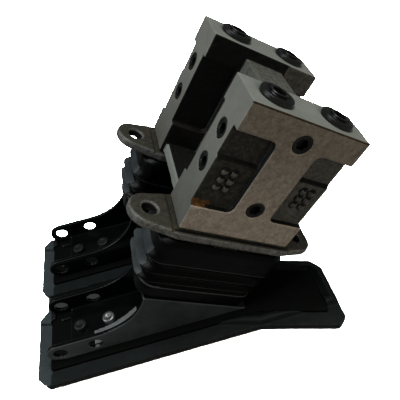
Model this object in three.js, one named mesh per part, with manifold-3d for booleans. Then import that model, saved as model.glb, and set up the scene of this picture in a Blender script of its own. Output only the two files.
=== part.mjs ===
// Dual travel foot-pedal pilot valve: two spool blocks in one casting, each worked by its own pedal.
// Millimetres, +Z up. The object lies upside down on its two pedal treads: +X runs from the toe end
// of the pedals to the heel end, +Y from the near pedal to the far one, and the floor is Z = 0.
// The origin is under the middle of the bounding box.
import * as THREE from "three";
import { mergeVertices } from "three/addons/utils/BufferGeometryUtils.js";
import Module from "manifold-3d";

const wasm = await Module();
wasm.setup();

// ---- driving dimensions -------------------------------------------------------------------------

const pedalPitch = 106; // between the centre lines of the two pedals, and of the two blocks
const valveTilt = THREE.MathUtils.degToRad(35.8); // lean of the spool axes towards the heel end
const toeX = -166.9; // toe end of both pedals
const midPlaneY = 20.27; // the plane halfway between the two pedals
const valveBase = { x: toeX + 217.4, z: 116.5 }; // middle of the casting's foot
const fit = 0.3; // clearance between pieces that touch

// valve casting, in the valve's own frame: x across the block, y between blocks, z along the spools
const blockWidth = 110;
const blockDepth = 40.6;
const blockHeight = 122.7;
const footBand = 27; // full-thickness band at the foot of each block
const headBand = 23.7; // and at its head
const columnHalf = 18.7; // half width of the column between the side pockets
const outerPocket = { lowDepth: 5, highDepth: 7, stepZ: 72.5, cornerR: 6 };
const innerPocket = { depth: 5, lowZ: 33, highZ: 101 };
const web = { halfWidth: 19, topZ: 113.5 }; // upright wall that joins the blocks
const floorWeb = { halfWidth: 50, lowZ: 1.2, topZ: 11, chamfer: 1.5 };
const footRebate = 2; // recess round the foot, above the flange plate

// bores and what goes in them
const boreX = 29; // spool and pushrod axes, each side of the block's middle
const portSeat = { radius: 11.3, depth: 19 };
const portSpot = { radius: 14.8, depth: 0.6 }; // machined spot face round each port
const spoolBore = 5;
const springChamber = { radius: 8.6, topZ: 52 };
const guideSeat = { radius: 11.3, depth: 16 };
const rodRadius = 4;
const domeZ = -17.4; // lower tip of each pushrod at rest

// flange plate and pivot
const flange = {
  thickness: 8,
  halfDepth: 24.5,
  bodyHalf: 52,
  earX: 76,
  earR: 18,
  earHoleR: 6.75,
  chamfer: 1.4,
};
const earLand = { fromX: 59, height: 0.6 }; // raised machined land on each ear
const flangeScrew = { x: 46, headR: 5, headHeight: 5, shankR: 3, reach: 13, key: 5, bore: 3.3 };
const pivotZ = -28;
const pinRadius = 5;
const pinHalfLength = 20;
const cheek = { innerY: 13, outerY: 18, halfWidth: 12, lowZ: -41 };

// pedal, in its own frame: x from the toe end, y from the pedal's centre line, z from the floor
const pedalLength = 307.5;
const padBase = 12; // rubber under the tread plate
const padHeight = 19; // top of the pad's rim
const padChamfer = 4; // round the tread side
const rimWidth = 13;
const treadPlate = { thickness: 4, gap: 1 };
const bracketTopZ = -82; // underside of the boot, in the valve's frame
const bracket = { halfWidth: 29.5, thickness: 4, holeZ: 29, holeR: 6.75 };
const lug = { x: 28.5, radius: 13 };
const secondHoleX = 63.6;
const sweepX = 70; // where the straight top edge of the side plates starts to curve up
const baseBoltX = [47, 77];
const footBoltX = 22;
const baseBoltSize = { headR: 6.5, headHeight: 5, shankR: 4, clearR: 4.5, key: 5, keyDepth: 3 };
const bracketFloor = { fromX: 36, toX: 150 };
const bootLineToeX = -54; // toe end of the sloped plate, in the valve's frame

// ---- materials ----------------------------------------------------------------------------------

function paint(color, roughness, metalness) {
  return new THREE.MeshStandardMaterial({ color, roughness, metalness });
}
const castIron = () => paint(0x6f6b64, 0.6, 0.6);
const machinedSteel = () => paint(0x8d8a84, 0.4, 0.9);
const blackOxide = () => paint(0x17181a, 0.45, 0.7);
const blackPaint = () => paint(0x14181a, 0.25, 0.3);
const bootRubber = () => paint(0x15191a, 0.55, 0);
const padRubber = () => paint(0x262c2c, 0.65, 0);
const bronze = () => paint(0x8a6a3a, 0.4, 0.9);

// ---- shape helpers ------------------------------------------------------------------------------

// A closed three.js geometry as a solid for joining and cutting.
function solid(geometry) {
  const bare = geometry.index ? geometry.toNonIndexed() : geometry.clone();
  bare.deleteAttribute("normal");
  bare.deleteAttribute("uv");
  const merged = mergeVertices(bare, 1e-4);
  return new wasm.Manifold(
    new wasm.Mesh({
      numProp: 3,
      vertProperties: merged.attributes.position.array,
      triVerts: new Uint32Array(merged.index.array),
    }),
  );
}

// A named mesh from a geometry or a joined solid.
function piece(name, shape, material) {
  if (shape.isBufferGeometry) {
    const plain = new THREE.Mesh(shape, material);
    plain.name = name;
    return plain;
  }
  const { vertProperties, triVerts } = shape.getMesh();
  const geometry = new THREE.BufferGeometry();
  geometry.setAttribute("position", new THREE.BufferAttribute(vertProperties, 3));
  geometry.setIndex(new THREE.BufferAttribute(triVerts, 1));
  geometry.computeVertexNormals();
  const mesh = new THREE.Mesh(geometry, material);
  mesh.name = name;
  return mesh;
}

function boxBetween(x0, x1, y0, y1, z0, z1) {
  const box = new THREE.BoxGeometry(x1 - x0, y1 - y0, z1 - z0);
  box.translate((x0 + x1) / 2, (y0 + y1) / 2, (z0 + z1) / 2);
  return solid(box);
}

// Round bars along each axis; at gives the two other coordinates.
function barZ(radius, z0, z1, x = 0, y = 0, sides = 20) {
  const bar = new THREE.CylinderGeometry(radius, radius, z1 - z0, sides);
  bar.rotateX(Math.PI / 2);
  bar.translate(x, y, (z0 + z1) / 2);
  return solid(bar);
}

function barY(radius, y0, y1, x, z, sides = 20) {
  const bar = new THREE.CylinderGeometry(radius, radius, y1 - y0, sides);
  bar.translate(x, (y0 + y1) / 2, z);
  return solid(bar);
}

function barX(radius, x0, x1, y, z, sides = 20) {
  const bar = new THREE.CylinderGeometry(radius, radius, x1 - x0, sides);
  bar.rotateZ(Math.PI / 2);
  bar.translate((x0 + x1) / 2, y, z);
  return solid(bar);
}

// A flat outline given thickness along z.
function slabZ(outline, z0, z1, curveSegments = 5) {
  const slab = new THREE.ExtrudeGeometry(outline, { depth: z1 - z0, bevelEnabled: false, curveSegments });
  slab.translate(0, 0, z0);
  return solid(slab);
}

// The same with its lower edge chamfered, and its upper edge too if both is true.
function chamferedSlabZ(outline, z0, z1, chamfer, both = false, curveSegments = 5) {
  const top = both ? z1 : z1 + chamfer;
  const slab = new THREE.ExtrudeGeometry(outline, {
    depth: top - z0 - 2 * chamfer,
    bevelThickness: chamfer,
    bevelSize: chamfer,
    bevelOffset: -chamfer,
    bevelSegments: 1,
    curveSegments,
  });
  slab.translate(0, 0, z0 + chamfer);
  const made = solid(slab);
  return both ? made : made.subtract(boxBetween(-1000, 1000, -1000, 1000, z1, top + 1));
}

// An outline drawn in x and z, given thickness along y.
function slabY(outline, y0, y1, curveSegments = 7) {
  const slab = new THREE.ExtrudeGeometry(outline, { depth: y1 - y0, bevelEnabled: false, curveSegments });
  slab.translate(0, 0, -y1);
  slab.rotateX(Math.PI / 2);
  return solid(slab);
}

const polygon = (points) => new THREE.Shape(points.map(([x, y]) => new THREE.Vector2(x, y)));

// The outline moved inwards by the same distance on every side; points run anticlockwise.
function insetOutline(points, distance) {
  return points.map((point, i) => {
    const before = new THREE.Vector2(...points.at(i - 1));
    const here = new THREE.Vector2(...point);
    const after = new THREE.Vector2(...points[(i + 1) % points.length]);
    const into = here.clone().sub(before).normalize();
    const out = after.clone().sub(here).normalize();
    const normalIn = new THREE.Vector2(-into.y, into.x);
    const normalOut = new THREE.Vector2(-out.y, out.x);
    const bisector = normalIn.clone().add(normalOut);
    const shift = bisector.multiplyScalar((2 * distance) / bisector.lengthSq());
    return [here.x + shift.x, here.y + shift.y];
  });
}

// A hexagonal key socket along +z, as wide across its flats as given.
function hexSocket(acrossFlats, z0, z1) {
  return barZ(acrossFlats / Math.sqrt(3), z0, z1, 0, 0, 6);
}

// Each side of a pair: the near block and pedal at -y, the far ones at +y.
const blockSides = [
  ["near", -1],
  ["far", 1],
];
const rodSides = [
  ["toe", -1],
  ["heel", 1],
];
const blockY = (side) => (side * pedalPitch) / 2;

// ---- valve casting ------------------------------------------------------------------------------

// A side pocket between the head and foot bands, open to the side that hand (-1 or 1) points to.
function pocketOutline(hand, lowZ, highZ) {
  const r = outerPocket.cornerR;
  const open = blockWidth / 2 + 2;
  const shape = new THREE.Shape();
  shape.moveTo(open, lowZ);
  shape.lineTo(open, highZ);
  shape.lineTo(columnHalf + r, highZ);
  shape.absarc(columnHalf + r, highZ - r, r, Math.PI / 2, Math.PI, false);
  shape.lineTo(columnHalf, lowZ + r);
  shape.absarc(columnHalf + r, lowZ + r, r, Math.PI, 1.5 * Math.PI, false);
  const points = shape.getPoints(3).map((p) => [hand * p.x, p.y]);
  return polygon(hand > 0 ? points.reverse() : points);
}

// The pockets cut into one face; faceY is that face, inward (-1 or 1) points into the block.
function facePockets(faceY, inward, depth, lowZ, highZ) {
  const y = [faceY - inward, faceY + inward * depth].sort((a, b) => a - b);
  return [-1, 1].map((hand) => slabY(pocketOutline(hand, lowZ, highZ), ...y));
}

function stackedBores(x, y) {
  return [
    barZ(portSpot.radius, blockHeight - portSpot.depth, blockHeight + 1, x, y),
    barZ(portSeat.radius, blockHeight - portSeat.depth, blockHeight, x, y),
    barZ(spoolBore, springChamber.topZ - 1, blockHeight - portSeat.depth + 1, x, y, 16),
    barZ(springChamber.radius, guideSeat.depth - 1, springChamber.topZ, x, y),
    barZ(guideSeat.radius, -1, guideSeat.depth, x, y),
  ];
}

const facePlug = { radius: 7.9, length: 8, zs: [103.7, 35.5] };
const sidePlug = { radius: 7.5, length: 8, zs: [87.3, 56.4] };
const galleryR = 2.5; // cross drillings behind the side plugs
const flushPlugDrop = 0.2;
const flushPlugKeyDepth = 5;

function valveBlock(side) {
  const y = blockY(side);
  const outerFace = y + (side * blockDepth) / 2;
  const innerFace = y - (side * blockDepth) / 2;
  const half = blockWidth / 2;
  let block = boxBetween(-half, half, y - blockDepth / 2, y + blockDepth / 2, 0, blockHeight);
  const headZ = blockHeight - headBand;
  const cuts = [
    ...facePockets(outerFace, -side, outerPocket.lowDepth, footBand, headZ),
    ...facePockets(outerFace, -side, outerPocket.highDepth, outerPocket.stepZ, headZ),
    ...facePockets(innerFace, side, innerPocket.depth, innerPocket.lowZ, innerPocket.highZ),
  ];
  for (const [, hand] of rodSides) {
    cuts.push(...stackedBores(hand * boreX, y));
    cuts.push(barZ(flangeScrew.bore, -1, flangeScrew.reach + 1, hand * flangeScrew.x, y, 10));
  }
  for (const z of facePlug.zs) {
    const deep = outerFace - side * (facePlug.length + 2);
    const reach = [deep, outerFace + side].sort((a, b) => a - b);
    cuts.push(barY(facePlug.radius + fit, ...reach, 0, z));
  }
  for (const z of sidePlug.zs) {
    cuts.push(barX(sidePlug.radius + fit, -half - 1, -half + sidePlug.length + 2, y, z));
    cuts.push(barX(galleryR, -half, boreX, y, z, 8));
  }
  for (const cut of cuts) block = block.subtract(cut);
  return block.subtract(footRecess(y));
}

// The shallow recess round the block's foot.
function footRecess(y) {
  const square = (grow, z0, z1) => {
    const halfX = blockWidth / 2 + grow;
    const halfY = blockDepth / 2 + grow;
    return boxBetween(-halfX, halfX, y - halfY, y + halfY, z0, z1);
  };
  return square(1, -1, footRebate).subtract(square(-footRebate, -2, footRebate + 1));
}

function floorWebOutline() {
  const { halfWidth, lowZ, topZ, chamfer } = floorWeb;
  return polygon([
    [-halfWidth, lowZ],
    [halfWidth, lowZ],
    [halfWidth, topZ - chamfer],
    [halfWidth - chamfer, topZ],
    [-halfWidth + chamfer, topZ],
    [-halfWidth, topZ - chamfer],
  ]);
}

function valveCasting() {
  const reach = pedalPitch / 2 - blockDepth / 2 + innerPocket.depth / 2;
  const wall = boxBetween(-web.halfWidth, web.halfWidth, -reach - 4, reach + 4, footRebate, web.topZ);
  const floor = slabY(floorWebOutline(), -reach, reach);
  const trimmedWall = wall.subtract(floorClearance());
  return valveBlock(-1).add(valveBlock(1)).add(trimmedWall).add(floor);
}

// Keeps the upright wall out of the bores of both blocks.
function floorClearance() {
  let room = null;
  for (const [, side] of blockSides) {
    for (const [, hand] of rodSides) {
      const bore = barZ(guideSeat.radius, -1, blockHeight + 1, hand * boreX, blockY(side));
      room = room ? room.add(bore) : bore;
    }
  }
  return room;
}

// ---- plugs --------------------------------------------------------------------------------------

const portPlugSize = {
  headR: 14,
  headTop: 4.1,
  bossR: 7.6,
  bossTop: 5.6,
  shankLow: -13.5,
  key: 10,
  keyLow: -3,
};

// A flanged port plug, standing on z = 0 with its shank below.
function portPlug() {
  const { headR, headTop, bossR, bossTop, shankLow, key, keyLow } = portPlugSize;
  const head = barZ(headR, 0, headTop);
  const boss = barZ(bossR, headTop - 0.5, bossTop);
  const shank = barZ(portSeat.radius - fit, shankLow, 0.5);
  return head.add(boss).add(shank).subtract(hexSocket(key, keyLow, bossTop + 1));
}

// A plug that sits just below flush; the face round it is z = 0.
function flushPlug(radius, length, acrossFlats) {
  return barZ(radius, -length, -flushPlugDrop).subtract(hexSocket(acrossFlats, -flushPlugKeyDepth, 1));
}

function portPlugs() {
  return eachBore((sideName, side, endName, hand) => {
    const plug = piece(`${sideName}_port_plug_${endName}`, portPlug(), blackOxide());
    plug.position.set(hand * boreX, blockY(side), blockHeight - portSpot.depth + fit);
    return plug;
  });
}

function facePlugs() {
  return blockSides.flatMap(([sideName, side]) =>
    facePlug.zs.map((z, i) => {
      const name = `${sideName}_face_plug_${i ? "lower" : "upper"}`;
      const plug = piece(name, flushPlug(facePlug.radius, facePlug.length, 9), blackOxide());
      plug.rotation.x = (-side * Math.PI) / 2;
      plug.position.set(0, blockY(side) + (side * blockDepth) / 2, z);
      return plug;
    }),
  );
}

function sidePlugs() {
  return blockSides.flatMap(([sideName, side]) =>
    sidePlug.zs.map((z, i) => {
      const name = `${sideName}_side_plug_${i ? "lower" : "upper"}`;
      const plug = piece(name, flushPlug(sidePlug.radius, sidePlug.length, 8), blackOxide());
      plug.rotation.y = -Math.PI / 2;
      plug.position.set(-blockWidth / 2, blockY(side), z);
      return plug;
    }),
  );
}

// Calls make once for each of the four spool bores.
function eachBore(make) {
  return blockSides.flatMap(([sideName, side]) =>
    rodSides.map(([endName, hand]) => make(sideName, side, endName, hand)),
  );
}

// ---- spools, springs, pushrods ------------------------------------------------------------------

const spoolSize = {
  lowZ: 42,
  highZ: 100,
  stemR: 3,
  stemLowZ: 38.8,
  grooveZs: [60, 84],
  grooveWidth: 6,
  neckR: 3.2,
};

function spool() {
  const { lowZ, highZ, stemR, stemLowZ, grooveZs, grooveWidth, neckR } = spoolSize;
  const body = barZ(spoolBore - fit, lowZ, highZ, 0, 0, 12);
  const stem = barZ(stemR, stemLowZ, lowZ + 0.5, 0, 0, 12);
  const groove = (z) => {
    const neck = barZ(neckR, z - 1, z + grooveWidth + 1, 0, 0, 12);
    return barZ(spoolBore + 1, z, z + grooveWidth, 0, 0, 8).subtract(neck);
  };
  return grooveZs.map(groove).reduce((made, cut) => made.subtract(cut), body.add(stem));
}

const collar = { radius: 7.2, lowZ: 28.3, highZ: 31.3 }; // the spring's seat on each pushrod

function pushrod() {
  const profile = new THREE.Path();
  profile.moveTo(0, domeZ);
  profile.absarc(0, domeZ + rodRadius, rodRadius, -Math.PI / 2, 0, false);
  profile.lineTo(rodRadius, collar.lowZ);
  profile.lineTo(collar.radius, collar.lowZ);
  profile.lineTo(collar.radius, collar.highZ);
  profile.lineTo(0, collar.highZ);
  const lathe = new THREE.LatheGeometry(profile.getPoints(3), 12);
  lathe.rotateX(Math.PI / 2);
  return solid(lathe);
}

function guideBush() {
  const outside = barZ(guideSeat.radius - fit, 0, guideSeat.depth - fit);
  return outside.subtract(barZ(rodRadius + fit, -1, guideSeat.depth, 0, 0, 16));
}

// A compression spring from the pushrod's collar to the shoulder above it.
const spring = { turns: 4, meanRadius: 6.4, wireR: 1, lowZ: 32.8, highZ: 50.5 };

class Helix extends THREE.Curve {
  getPoint(t) {
    const { turns, meanRadius, lowZ, highZ } = spring;
    const angle = t * turns * 2 * Math.PI;
    const z = THREE.MathUtils.lerp(lowZ, highZ, t);
    return new THREE.Vector3(meanRadius * Math.cos(angle), meanRadius * Math.sin(angle), z);
  }
}

function returnSpring() {
  const wire = new THREE.Shape();
  wire.absarc(0, 0, spring.wireR, 0, 2 * Math.PI, false);
  return solid(new THREE.ExtrudeGeometry(wire, { steps: 32, extrudePath: new Helix(), curveSegments: 3 }));
}

function workingParts() {
  return eachBore((sideName, side, endName, hand) => {
    const parts = [
      piece(`${sideName}_spool_${endName}`, spool(), machinedSteel()),
      piece(`${sideName}_return_spring_${endName}`, returnSpring(), machinedSteel()),
      piece(`${sideName}_pushrod_${endName}`, pushrod(), machinedSteel()),
      piece(`${sideName}_rod_guide_${endName}`, guideBush(), bronze()),
    ];
    for (const part of parts) part.position.set(hand * boreX, blockY(side), 0);
    return parts;
  }).flat();
}

// ---- flange plates and pivot --------------------------------------------------------------------

// Oval flange outline: a straight body that narrows to a round ear at each end.
function flangeOutline() {
  const { halfDepth, bodyHalf, earX, earR } = flange;
  const lean = Math.atan2(halfDepth - earR, earX - bodyHalf);
  const shape = new THREE.Shape();
  shape.moveTo(-bodyHalf, -halfDepth);
  shape.lineTo(bodyHalf, -halfDepth);
  shape.absarc(earX, 0, earR, -Math.PI / 2 + lean, Math.PI / 2 - lean, false);
  shape.lineTo(bodyHalf, halfDepth);
  shape.lineTo(-bodyHalf, halfDepth);
  shape.absarc(-earX, 0, earR, Math.PI / 2 + lean, 1.5 * Math.PI - lean, false);
  return shape;
}

function flangePlate() {
  const low = -fit - flange.thickness;
  const landZ = earLand.height - fit;
  const reach = flange.halfDepth + 1;
  let plate = chamferedSlabZ(flangeOutline(), low, landZ, flange.chamfer, true);
  plate = plate.subtract(boxBetween(-earLand.fromX, earLand.fromX, -reach, reach, -fit, landZ + 1));
  for (const hand of [-1, 1]) {
    const cheekY = [hand * cheek.innerY, hand * cheek.outerY].sort((a, b) => a - b);
    plate = plate.add(boxBetween(-cheek.halfWidth, cheek.halfWidth, ...cheekY, cheek.lowZ, low + 1));
  }
  const cuts = [barY(pinRadius + fit, -cheek.outerY - 1, cheek.outerY + 1, 0, pivotZ)];
  for (const hand of [-1, 1]) {
    cuts.push(barZ(flange.earHoleR, low - 1, 1, hand * flange.earX, 0));
    cuts.push(barZ(rodRadius + 2 * fit, low - 1, 1, hand * boreX, 0, 16));
    cuts.push(barZ(flangeScrew.shankR + 0.4, low - 1, 1, hand * flangeScrew.x, 0, 12));
  }
  return cuts.reduce((made, cut) => made.subtract(cut), plate);
}

// A socket-head screw, its head seat at z = 0 and its shank above, driven from below.
function socketScrew() {
  const { headR, headHeight, shankR, reach, key } = flangeScrew;
  const head = barZ(headR, -headHeight, 0);
  return head.add(barZ(shankR, -1, reach, 0, 0, 10)).subtract(hexSocket(key, -headHeight - 1, -2));
}

function flangeParts() {
  return blockSides.flatMap(([sideName, side]) => {
    const y = blockY(side);
    const plate = piece(`${sideName}_flange_plate`, flangePlate(), castIron());
    plate.position.y = y;
    const pinShape = barY(pinRadius, -pinHalfLength, pinHalfLength, 0, pivotZ);
    const pin = piece(`${sideName}_pivot_pin`, pinShape, machinedSteel());
    pin.position.y = y;
    const screws = rodSides.map(([endName, hand]) => {
      const screw = piece(`${sideName}_flange_screw_${endName}`, socketScrew(), blackOxide());
      screw.position.set(hand * flangeScrew.x, y, -2 * fit - flange.thickness);
      return screw;
    });
    return [plate, pin, ...screws];
  });
}

// ---- boots --------------------------------------------------------------------------------------

// One level of the boot: a rectangle with round corners, as points round its edge.
function bootLevel(toe, heel, halfY, z) {
  const r = Math.min(halfY - 1, 14);
  const outline = new THREE.Shape();
  outline.moveTo(heel - r, -halfY);
  outline.absarc(heel - r, -halfY + r, r, -Math.PI / 2, 0, false);
  outline.absarc(heel - r, halfY - r, r, 0, Math.PI / 2, false);
  outline.absarc(-toe + r, halfY - r, r, Math.PI / 2, Math.PI, false);
  outline.absarc(-toe + r, -halfY + r, r, Math.PI, 1.5 * Math.PI, false);
  return outline.getPoints(2).map((p) => [p.x, p.y, z]);
}

// A closed tube through levels that share one number of points, the last joined to the first.
function loopedTube(levels) {
  const count = levels[0].length;
  const index = [];
  levels.forEach((_, i) => {
    const next = (i + 1) % levels.length;
    for (let j = 0; j < count; j++) {
      const k = (j + 1) % count;
      index.push(i * count + j, i * count + k, next * count + k);
      index.push(i * count + j, next * count + k, next * count + j);
    }
  });
  const geometry = new THREE.BufferGeometry();
  geometry.setAttribute("position", new THREE.Float32BufferAttribute(levels.flat(2), 3));
  geometry.setIndex(index);
  return geometry;
}

// The boot's outside from its foot to its head: reach towards the toe, reach towards the heel, half depth, z.
const bootProfile = [
  [60, 56, 27, bracketTopZ + fit],
  [63, 57, 27.5, -66],
  [62, 54, 25.5, -63],
  [69, 58, 28, -60],
  [64, 55, 26, -53],
  [70, 59, 28.3, -47],
  [64, 56, 26.3, -40],
  [68, 61, 28.5, -33],
  [66, 61, 28.5, -14],
  [62, 57, 26, -fit - flange.thickness - fit],
];
const bootWall = 3;
const bootHollow = { toe: 54, heel: 54, halfY: 25.5 };

function boot() {
  const outside = bootProfile.map((level) => bootLevel(...level));
  const headZ = bootProfile.at(-1).at(-1);
  const footZ = bootProfile[0].at(-1);
  const { toe, heel, halfY } = bootHollow;
  const hollow = [toe, heel, halfY].map((reach) => reach - bootWall);
  const inside = [headZ, footZ].map((z) => bootLevel(...hollow, z));
  return loopedTube([...outside, ...inside]);
}

function boots() {
  return blockSides.map(([sideName, side]) => {
    const made = piece(`${sideName}_boot`, solid(boot()), bootRubber());
    made.position.y = blockY(side);
    return made;
  });
}

// ---- rocker, in the valve's frame ---------------------------------------------------------------

const rockerHalfY = 12;
const rockerFootZ = bracketTopZ + fit;
const rockerArm = { halfX: 36, lowZ: -25, highZ: -18 };
const rockerHubR = 11;
const rockerFoot = { halfX: 31, thickness: 8 };
const footScrew = { shankR: 3, headR: 5.2, headHeight: 5 };
const bushOuter = 6.5;

function rocker() {
  const acrossY = [-rockerHalfY, rockerHalfY];
  const arms = boxBetween(-rockerArm.halfX, rockerArm.halfX, ...acrossY, rockerArm.lowZ, rockerArm.highZ);
  const hub = barY(rockerHubR, ...acrossY, 0, pivotZ);
  const leg = boxBetween(-rockerHubR, rockerHubR, ...acrossY, rockerFootZ, pivotZ);
  const footTop = rockerFootZ + rockerFoot.thickness;
  const foot = boxBetween(-rockerFoot.halfX, rockerFoot.halfX, ...acrossY, rockerFootZ, footTop);
  let made = arms.add(hub).add(leg).add(foot);
  made = made.subtract(barY(bushOuter + 0.1, -rockerHalfY - 1, rockerHalfY + 1, 0, pivotZ));
  for (const hand of [-1, 1]) {
    const hole = barZ(footScrew.shankR + 0.4, rockerFootZ - 1, footTop + 1, hand * footBoltX, 0, 16);
    made = made.subtract(hole);
  }
  return made;
}

function rockerBush() {
  return barY(bushOuter, -rockerHalfY, rockerHalfY, 0, pivotZ).subtract(
    barY(pinRadius + 0.2, -rockerHalfY - 1, rockerHalfY + 1, 0, pivotZ),
  );
}

// A screw through the bracket's sloped plate into the rocker's foot, its head at the top.
function footBolt(x) {
  const seat = rockerFootZ + rockerFoot.thickness + fit;
  const shank = barZ(footScrew.shankR, bracketTopZ - bracket.thickness - 2, seat + 1, x, 0, 16);
  return barZ(footScrew.headR, seat, seat + footScrew.headHeight, x, 0).add(shank);
}

function rockerParts(sideName, side) {
  const parts = [
    piece(`${sideName}_rocker`, rocker(), castIron()),
    piece(`${sideName}_rocker_bush`, rockerBush(), bronze()),
    ...rodSides.map(([endName, hand]) =>
      piece(`${sideName}_rocker_bolt_${endName}`, footBolt(hand * footBoltX), blackOxide()),
    ),
  ];
  for (const part of parts) part.position.y = blockY(side);
  return parts;
}

// ---- pedal: rubber pad, tread plate and bracket -------------------------------------------------

// The pedal's sharp corners from above, anticlockwise: a straight toe part and a heel part that slants.
const nearBendX = 226;
const farBendX = 222;
const pedalCorners = [
  [0, -51],
  [nearBendX, -51],
  [pedalLength, -76.2],
  [pedalLength, 2.4],
  [farBendX, 33],
  [0, 33],
];
const cornerCut = 9;
const bracketRoom = 1.2; // between the bracket's side plate and the tray's wall
const widening = { fromX: 18, toX: farBendX - 1 };
const boltPocketR = 7.5; // under the pad's floor, for the ends of the base bolts

// The pedal's outline moved inwards, with each end corner cut off.
function pedalOutline(inset) {
  const cut = Math.max(cornerCut - inset / 2, 2);
  const points = insetOutline(pedalCorners, inset).map((p) => new THREE.Vector2(...p));
  const cornered = points.flatMap((here, i) => {
    const isBend = i === 1 || i === 4;
    if (isBend) return [here];
    const toward = (other) => here.clone().add(other.clone().sub(here).setLength(cut));
    return [toward(points.at(i - 1)), toward(points[(i + 1) % points.length])];
  });
  return new THREE.Shape(cornered);
}

// The tray that holds the tread plate, smaller by gap all round. On the far side it widens to let the
// bracket's side plate stand in it.
function trayShape(gap, z0, z1) {
  const besideBracket = bracket.halfWidth + bracketRoom - gap;
  const widened = boxBetween(widening.fromX + gap, widening.toX - gap, -10, besideBracket, z0, z1);
  return slabZ(pedalOutline(rimWidth + gap), z0, z1).add(widened);
}

function rubberPad() {
  const whole = chamferedSlabZ(pedalOutline(0), 0, padHeight, padChamfer);
  const bolts = baseBoltX.map((x) => barZ(boltPocketR, padBase - 7, padBase + 1, x, 0));
  const hollowed = whole.subtract(trayShape(0, padBase, padHeight + 1));
  return bolts.reduce((made, hole) => made.subtract(hole), hollowed);
}

function treadPlateSolid() {
  const low = padBase + fit;
  const plate = trayShape(treadPlate.gap, low, low + treadPlate.thickness);
  const high = low + treadPlate.thickness + 2;
  return baseBoltX.reduce((made, x) => made.subtract(barZ(baseBoltSize.clearR, low - 1, high, x, 0)), plate);
}

const bracketFloorZ = padBase + fit + treadPlate.thickness + fit;

// A point of the valve's frame in the pedal's frame, as x and z.
function fromValve(x, z) {
  const cos = Math.cos(valveTilt);
  const sin = Math.sin(valveTilt);
  return [valveBase.x - toeX + x * cos + z * sin, valveBase.z - x * sin + z * cos];
}

// Where the line under the boot, at height z of the valve's frame, meets a height of the pedal's frame.
function bootLineAt(z, pedalZ) {
  const across = (valveBase.z + z * Math.cos(valveTilt) - pedalZ) / Math.sin(valveTilt);
  return fromValve(across, z);
}

function sidePlateOutline() {
  const top = bracket.holeZ + lug.radius;
  const [backX, backZ] = fromValve(bootLineToeX, bracketTopZ);
  const run = backX - sweepX;
  const rise = backZ - top;
  const sweepR = (run * run + rise * rise) / (2 * rise);
  const endAngle = Math.atan2(rise - sweepR, run);
  const shape = new THREE.Shape();
  shape.moveTo(lug.x, bracketFloorZ);
  shape.lineTo(...bootLineAt(bracketTopZ, bracketFloorZ));
  shape.absarc(sweepX, top + sweepR, sweepR, endAngle, -Math.PI / 2, true);
  shape.lineTo(lug.x, top);
  shape.absarc(lug.x, bracket.holeZ, lug.radius, Math.PI / 2, 1.25 * Math.PI, false);
  return shape;
}

function slopedPlateOutline() {
  const low = bracketTopZ - bracket.thickness;
  return polygon([
    fromValve(bootLineToeX, low),
    bootLineAt(low, bracketFloorZ),
    bootLineAt(bracketTopZ, bracketFloorZ),
    fromValve(bootLineToeX, bracketTopZ),
  ]);
}

function bracketSolid() {
  const { halfWidth, thickness, holeR, holeZ } = bracket;
  const inner = halfWidth - thickness;
  const { fromX, toX } = bracketFloor;
  let made = boxBetween(fromX, toX, -inner - 1, inner + 1, bracketFloorZ, bracketFloorZ + thickness);
  made = made.add(slabY(slopedPlateOutline(), -inner - 1, inner + 1));
  for (const y of [-halfWidth, inner]) made = made.add(slabY(sidePlateOutline(), y, y + thickness));
  for (const x of [lug.x, secondHoleX]) {
    made = made.subtract(barY(holeR, -halfWidth - 1, halfWidth + 1, x, holeZ));
  }
  for (const x of baseBoltX) {
    made = made.subtract(barZ(baseBoltSize.clearR, bracketFloorZ - 1, bracketFloorZ + thickness + 1, x, 0));
  }
  return made.subtract(footBoltHoles());
}

// The holes for the rocker's bolts, square to the sloped plate.
function footBoltHoles() {
  const holes = [-1, 1].map((hand) => {
    const radius = footScrew.shankR + 0.5;
    const hole = new THREE.CylinderGeometry(radius, radius, 14, 16);
    hole.rotateX(Math.PI / 2);
    hole.rotateY(valveTilt);
    const [x, z] = fromValve(hand * footBoltX, bracketTopZ - bracket.thickness / 2);
    hole.translate(x, 0, z);
    return solid(hole);
  });
  return holes[0].add(holes[1]);
}

function baseBolt(x) {
  const seat = bracketFloorZ + bracket.thickness + fit;
  const { headR, headHeight, shankR, key, keyDepth } = baseBoltSize;
  const top = seat + headHeight;
  return barZ(headR, seat, top, x, 0)
    .add(barZ(shankR, padBase - 5, seat + 1, x, 0))
    .subtract(barZ(key / Math.sqrt(3), top - keyDepth, top + 1, x, 0, 6));
}

function pedalParts(sideName, side) {
  const parts = [
    piece(`${sideName}_pad`, rubberPad(), padRubber()),
    piece(`${sideName}_tread_plate`, treadPlateSolid(), blackPaint()),
    piece(`${sideName}_bracket`, bracketSolid(), blackPaint()),
    ...baseBoltX.map((x, i) =>
      piece(`${sideName}_base_bolt_${i ? "heel" : "toe"}`, baseBolt(x), blackOxide()),
    ),
  ];
  for (const part of parts) part.position.set(toeX, midPlaneY + blockY(side), 0);
  return parts;
}

// ---- assembly -----------------------------------------------------------------------------------

// Everything laid out in the valve's frame leans with the spools.
const valve = new THREE.Group();
valve.rotation.y = valveTilt;
valve.position.set(valveBase.x, midPlaneY, valveBase.z);
valve.add(piece("valve_casting", valveCasting(), castIron()));
valve.add(...flangeParts(), ...portPlugs(), ...facePlugs(), ...sidePlugs(), ...workingParts(), ...boots());
for (const [sideName, side] of blockSides) valve.add(...rockerParts(sideName, side));

const assembly = new THREE.Group();
assembly.add(valve);
for (const [sideName, side] of blockSides) assembly.add(...pedalParts(sideName, side));

export default assembly;
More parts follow.
